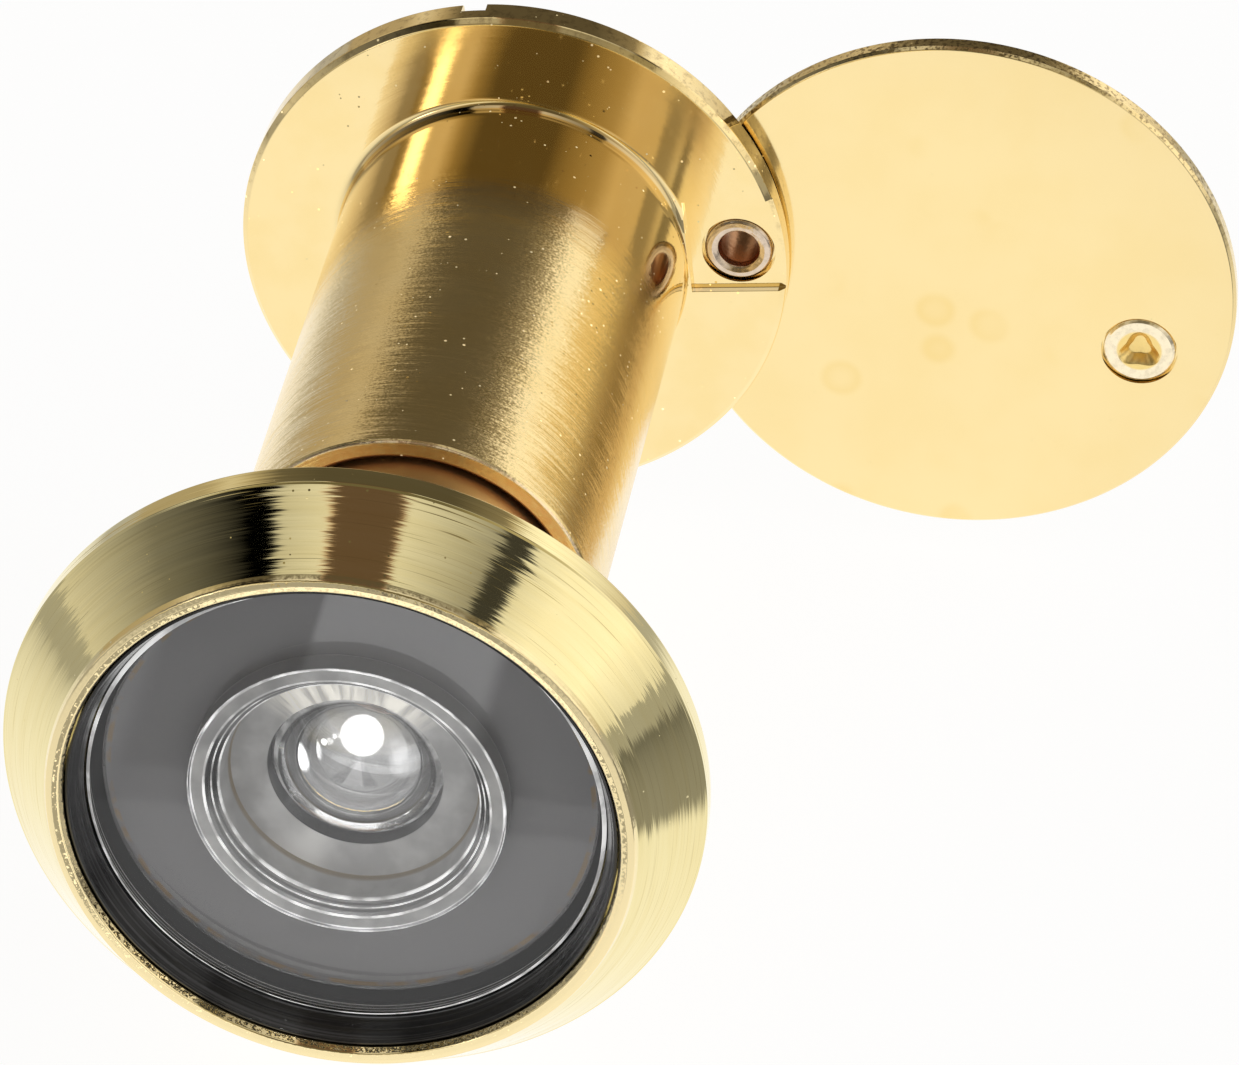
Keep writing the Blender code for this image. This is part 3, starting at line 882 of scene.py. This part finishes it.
def build_objective():
    holder = lathe("holder_ring", soften([
        (10.98, -39.65),
        (11.54, -39.65),
        (11.54, -43.43),
        (11.44, -43.47, 0.02),
        (10.98, -42.35, 0.05),
    ]), BIG)
    stand_in(holder, "lens_holder", "optics_set", BLACK)
    hollow = dome(6.70, -41.78, 0.15, 24, -1.0)
    lens = lathe("objective_glass", [
        (0.0, -42.33), (10.76, -42.33), (10.9, -42.19), (10.9, -40.53), (10.36, -40.03),
        (6.70, -40.03), *hollow,
    ], BIG)
    stand_in(lens, "objective_lens", "optics_set", OBJECTIVE)
    seat = lathe("seat_ring", [
        (6.7, -39.65), (10.85, -39.65), (10.85, -39.99), (6.7, -39.99),
    ], BIG)
    stand_in(seat, "lens_seat", "optics_set", GREY)


def build_inner_optics():
    spacer = lathe("spacer_front", soften([
        (6.02, -41.70, 0.04),
        (6.62, -41.70, 0.04),
        (6.62, -39.65),
        (6.2, -39.65),
        (6.2, -37.75),
        (4.9, -37.75),
        (4.9, -38.92),
        (3.75, -38.92),
        (3.75, -39.74, 0.06),
        (5.31, -39.88),
        (5.51, -41.19, 0.04),
        (5.66, -41.24, 0.03),
        (5.68, -41.38, 0.03),
        (5.84, -41.43, 0.03),
        (5.86, -41.58, 0.03),
    ]), BIG)
    stand_in(spacer, "front_spacer", "optics_set", PALE_GREY)
    front = dome(3.6, -39.1, 1.6, 40, -1.0)
    hollow = dome(2.7, -37.8, 1.35, 20, -1.0)
    second = lathe(
        "second_glass",
        list(reversed(front)) + [(3.6, -38.87), (4.8, -38.87), (4.8, -37.8)] + hollow,
        MEDIUM,
    )
    stand_in(second, "second_lens", "optics_set", SECOND)
    middle = lathe("spacer_middle", [
        (4.3, -37.7), (6.2, -37.7), (6.2, -33.6), (5.2, -33.6), (5.2, -36.9), (4.3, -36.9),
    ], MEDIUM)
    stand_in(middle, "middle_spacer", "optics_set", BLACK)
    hollow = list(reversed(dome(4.6, -33.5, 0.9, 16, 1.0)))
    back = dome(4.6, -31.0, 0.9, 16, -1.0)
    third = lathe("third_glass", hollow + [(6.15, -33.5), (6.15, -31.0)] + back, MEDIUM)
    stand_in(third, "third_lens", "optics_set", CLEAR)
    ring = lathe("retaining_ring", soften([
        (4.8, -30.95), (6.2, -30.95), (6.2, -29.3), (5.2, -29.3, 0.1), (4.8, -29.7, 0.1),
    ]), MEDIUM)
    stand_in(ring, "barrel_ring", "optics_set", BLACK)


def build_cover():
    cover = lathe("cover_plate", soften([
        (0.0, 1.72),
        (12.61, 1.72, 0.08),
        (12.75, 1.86, 0.08),
        (12.75, 2.50, 0.10),
        (12.53, 2.72, 0.10),
        (0.0, 2.72),
    ], closed=False), BIG, COVER_AT)
    hole = lathe("cover_tool_a", [
        (0.0, 0.7), (1.30, 0.7), (1.30, 3.7), (0.0, 3.7),
    ], SMALL, PIVOT_AT)
    sink = lathe("cover_tool_b", [
        (0.0, 0.7), (1.74, 0.7), (1.74, 2.08), (1.27, 2.08), (1.27, 3.7), (0.0, 3.7),
    ], SMALL, KNOB_AT)
    carve(cover, [hole, sink], 0.03)
    stand_in(cover, "cover_disc", "cover_set", COVER_BRASS)
    knob = lathe("knob_turned", soften([
        (0.0, 2.27),
        (0.55, 2.22, 0.1),
        (0.92, 1.82, 0.1),
        (1.02, 1.74, 0.05),
        (1.50, 1.74, 0.05),
        (1.64, 1.82, 0.05),
        (1.64, 2.02),
        (1.18, 2.02),
        (1.18, 2.80),
        (1.95, 2.80, 0.05),
        (2.10, 2.97, 0.1),
        (1.75, 4.02, 0.3),
        (1.75, 4.42, 0.3),
        (2.30, 5.42, 0.3),
        (2.30, 5.87, 0.3),
        (1.90, 6.27, 0.3),
        (0.0, 6.42),
    ], closed=False), SMALL, KNOB_AT)
    lobes(knob, KNOB_AT, 1.06, 2.4)
    stand_in(knob, "pull_knob", "cover_set", KNOB_BRASS)
    washer = lathe("washer_ring", soften([
        (1.30, 2.78, 0.03), (2.15, 2.78, 0.03), (2.15, 2.98, 0.03), (1.30, 2.98, 0.03),
    ]), SMALL, PIVOT_AT)
    stand_in(washer, "pivot_washer", "cover_set", PALE_BRASS)


def build_pivot():
    rivet = lathe("rivet_tubular", soften([
        (0.86, 3.64, 0.05),
        (0.86, 0.75, 0.1),
        (0.95, 0.45, 0.1),
        (1.02, 0.41, 0.05),
        (1.20, 0.33, 0.08),
        (1.42, 0.37, 0.08),
        (1.55, 0.49, 0.06),
        (1.55, 0.68),
        (1.22, 0.76),
        (1.22, 3.04),
        (2.15, 3.04, 0.05),
        (2.30, 3.20, 0.1),
        (2.05, 3.58, 0.2),
        (1.45, 3.72, 0.1),
        (1.00, 3.72, 0.1),
    ]), SMALL, PIVOT_AT)
    stand_in(rivet, "pivot_rivet", "indoor_set", PALE_BRASS)


build_sleeve()
build_eyepiece()
build_bezel()
build_objective()
build_inner_optics()
build_cover()
build_pivot()


# ---------------------------------------------------------------- studio

FLOOR_DROP = 0.4
FLOOR_REACH = 2.0  # metres
FLOOR_SEEN = 0.93
FLOOR_PAPER = 0.14

# The light tent, as brightness by angle from straight up in degrees, negative to the left. Above
# the object it has white cards with dark gaps; behind it and round the camera it is smoother.
TENT_ABOVE = [
    (-90, 0.70), (-62, 0.20), (-36, 0.0), (-29, 0.0), (-27, 0.60), (-14, 0.80), (-12, 0.10),
    (6, 0.10), (8, 0.80), (33, 0.35), (35, 0.05), (42, 0.05), (44, 0.85), (55, 1.10), (75, 1.20),
    (90, 0.85),
]
TENT_BACK = [
    (-90, 0.45), (-64, 0.45), (-55, 0.70), (-50, 0.60), (-38, 0.15), (-24, 0.10), (20, 0.10),
    (38, 0.25), (46, 1.05), (54, 1.25), (66, 1.05), (90, 0.65),
]
TENT_CAMERA = [
    (-90, 0.30), (-68, 0.90), (-54, 0.95), (-42, 0.40), (-30, 0.15), (18, 0.15), (30, 0.35),
    (54, 0.60), (66, 0.95), (90, 0.85),
]
TENT_FULL = 2.0  # a colour ramp's own levels stay within 0 to 1
GAP_TINT = (1.3, 0.85, 0.6)
FRONT_TINT = (1.05, 0.92, 0.58)
WARM_TINT = (1.0, 0.86, 0.62)
CLEAN_TINT = (1.0, 0.98, 0.94)

# Round lamps: azimuth from +Y toward +X, elevation, radius in degrees, brightness, even part.
LAMPS = [
    (-148, 8, 5, 3.2, 0.2),
]
# These show only as glints on the second lens, through the objective.
DOME_LAMPS = [
    (179, 21, 24, 10.0, 0.75),
    (179, 21, 55, 0.9, 0.35),
    (-142, 5, 4, 10.0, 0.4),
    (-112, -20, 15, 10.0, 0.45),
    (134, -11, 22, 2.4, 0.1),
]

CAMERA_AT = (53.071, -311.453, 203.325)
CAMERA_LENS = 240.34
CAMERA_DOWN = 34.674
CAMERA_TURN = 8.79


def build_floor():
    z = BEZEL_LO.z - FLOOR_DROP * MM
    bm = bmesh.new()
    corners = [(-1, -1), (1, -1), (1, 1), (-1, 1)]
    bm.faces.new([bm.verts.new((x * FLOOR_REACH, y * FLOOR_REACH, z)) for x, y in corners])
    mesh = bpy.data.meshes.new("floor")
    bm.to_mesh(mesh)
    bm.free()
    mesh.materials.append(floor_material())
    add_object("floor", mesh)


def floor_material():
    """White to the camera; to every other ray it is the level that floor_mirrored gives."""
    mat = bpy.data.materials.new("pale_floor")
    mat.use_nodes = True
    tree = mat.node_tree
    tree.nodes.clear()
    g = Graph(tree)
    mirrored = g.node("ShaderNodeEmission")
    g.put(mirrored.inputs["Strength"], floor_mirrored(g))
    seen = g.node("ShaderNodeEmission")
    seen.inputs["Strength"].default_value = FLOOR_SEEN
    paper = g.node("ShaderNodeBsdfDiffuse")
    paper.inputs["Color"].default_value = rgba((FLOOR_PAPER,) * 3)
    both = g.node("ShaderNodeAddShader")
    g.put(both.inputs[0], seen.outputs[0])
    g.put(both.inputs[1], paper.outputs[0])
    switch = g.node("ShaderNodeMixShader")
    g.put(switch.inputs[0], g.node("ShaderNodeLightPath").outputs["Is Camera Ray"])
    g.put(switch.inputs[1], mirrored.outputs[0])
    g.put(switch.inputs[2], both.outputs[0])
    g.put(g.node("ShaderNodeOutputMaterial").inputs["Surface"], switch.outputs[0])
    return mat


def floor_mirrored(g):
    """Brightness that falls off away from the object, with a flag at the right and, at the
    front, a dark strip with a bright sheet in it. Distances are in mm from the axis."""
    x, y, _ = g.split(from_point(g, to_frame(0.0, 0.0, 0.0)))
    far = g.vector("LENGTH", g.combine(x, g.plus(y, 15.0), 0.0))
    level = g.ramp(far, 25.0, 150.0, 1.15, 0.45, smooth=False)
    level = g.times(level, g.ramp(y, -10.0, 25.0, 0.92, 1.05))
    flag = g.times(g.window(x, 34.0, 40.0, 120.0, 170.0), g.window(y, -85.0, -70.0, -22.0, -12.0))
    level = g.times(level, g.math("MULTIPLY_ADD", flag, -0.68, 1.0))
    strip = g.times(g.ramp(y, -62.0, -61.0, 1.0, 0.0), g.window(x, -15.5, -14.0, 6.5, 8.0))
    sheet = g.window(x, -8.0, -7.5, 0.5, 1.5)
    shade = g.math("MULTIPLY_ADD", sheet, 1.0, -0.55)
    level = g.times(level, g.math("MULTIPLY_ADD", strip, shade, 1.0))
    ray = g.scaled(g.node("ShaderNodeNewGeometry").outputs["Incoming"], -1.0)
    return g.plus(level, dome_glints(g, ray))


def direction(azimuth, elevation):
    """A unit vector from degrees. Azimuth 0 is +Y, 90 is +X."""
    a = math.radians(azimuth)
    e = math.radians(elevation)
    return Vector((math.sin(a) * math.cos(e), math.cos(a) * math.cos(e), math.sin(e)))


def tent_level(g, angle, stops):
    """Brightness along the tent, from -90 to 90 degrees."""
    made = g.node("ShaderNodeValToRGB")
    g.put(made.inputs[0], g.ramp(angle, -90.0, 90.0, smooth=False))
    ramp = made.color_ramp
    ramp.interpolation = "LINEAR"
    for index, (at, level) in enumerate(stops):
        where = (at + 90.0) / 180.0
        if index < 2:
            element = ramp.elements[index]
            element.position = where
        else:
            element = ramp.elements.new(where)
        element.color = rgba((level / TENT_FULL,) * 3)
    return g.times(made.outputs[0], TENT_FULL)


def lamp_light(g, ray, lamps):
    """Round lamps, each even in its middle and fading to its edge."""
    spots = []
    for azimuth, elevation, radius, level, even in lamps:
        near = g.vector("DOT_PRODUCT", ray, tuple(direction(azimuth, elevation)))
        edge = math.cos(math.radians(radius))
        core = math.cos(math.radians(radius * even))
        spots.append(g.ramp(near, edge, core, 0.0, level))
    return g.plus(*spots)


def dome_glints(g, ray):
    """The dome lamps, for rays that have crossed at least three glass faces and no matt surface."""
    path = g.node("ShaderNodeLightPath")
    through_glass = g.above(path.outputs["Transmission Depth"], 2.5)
    unscattered = g.below(path.outputs["Diffuse Depth"], 0.5)
    return g.times(lamp_light(g, ray, DOME_LAMPS), g.times(through_glass, unscattered))


def tinted(g, level, tint):
    return g.vector("MULTIPLY", g.combine(level, level, level), tint)


def build_world():
    world = bpy.data.worlds.new("studio")
    bpy.context.scene.world = world
    world.use_nodes = True
    g = Graph(world.node_tree)
    back = world.node_tree.nodes["Background"]
    ray = g.node("ShaderNodeTexCoord").outputs["Generated"]
    x, y, z = g.split(ray)
    angle = g.times(g.math("ARCTAN2", x, g.largest(z, 0.0)), 180.0 / math.pi)
    above = tent_level(g, angle, TENT_ABOVE)
    rear = tent_level(g, angle, TENT_BACK)
    facing = tent_level(g, angle, TENT_CAMERA)
    gap = g.window(angle, -14.5, -12.0, 6.0, 8.0)
    above = tinted(g, above, g.mix(gap, CLEAN_TINT, GAP_TINT))
    rear = tinted(g, rear, g.mix(g.ramp(rear, 0.4, 1.0), WARM_TINT, CLEAN_TINT))
    facing = tinted(g, facing, g.mix(g.ramp(facing, 0.3, 1.0), FRONT_TINT, CLEAN_TINT))
    light = g.mix(g.ramp(y, 0.0, 0.4), above, rear)
    light = g.mix(g.ramp(y, -0.62, -0.45, 1.0, 0.0), light, facing)
    lamps = g.plus(dome_glints(g, ray), lamp_light(g, ray, LAMPS))
    lit = g.vector("ADD", light, g.combine(lamps, lamps, lamps))
    straight = g.node("ShaderNodeLightPath").outputs["Is Camera Ray"]
    g.put(back.inputs["Color"], g.mix(straight, lit, WHITE))
    back.inputs["Strength"].default_value = 1.0


def build_camera():
    data = bpy.data.cameras.new("camera")
    data.sensor_width = 36.0
    data.lens = CAMERA_LENS
    data.clip_start = 0.01
    camera = add_object("camera", data)
    camera.location = to_frame(*CAMERA_AT)
    camera.rotation_euler = (math.radians(90.0 - CAMERA_DOWN), 0.0, math.radians(CAMERA_TURN))
    bpy.context.scene.camera = camera


build_floor()
build_world()
build_camera()
bpy.context.scene.view_settings.view_transform = "Standard"
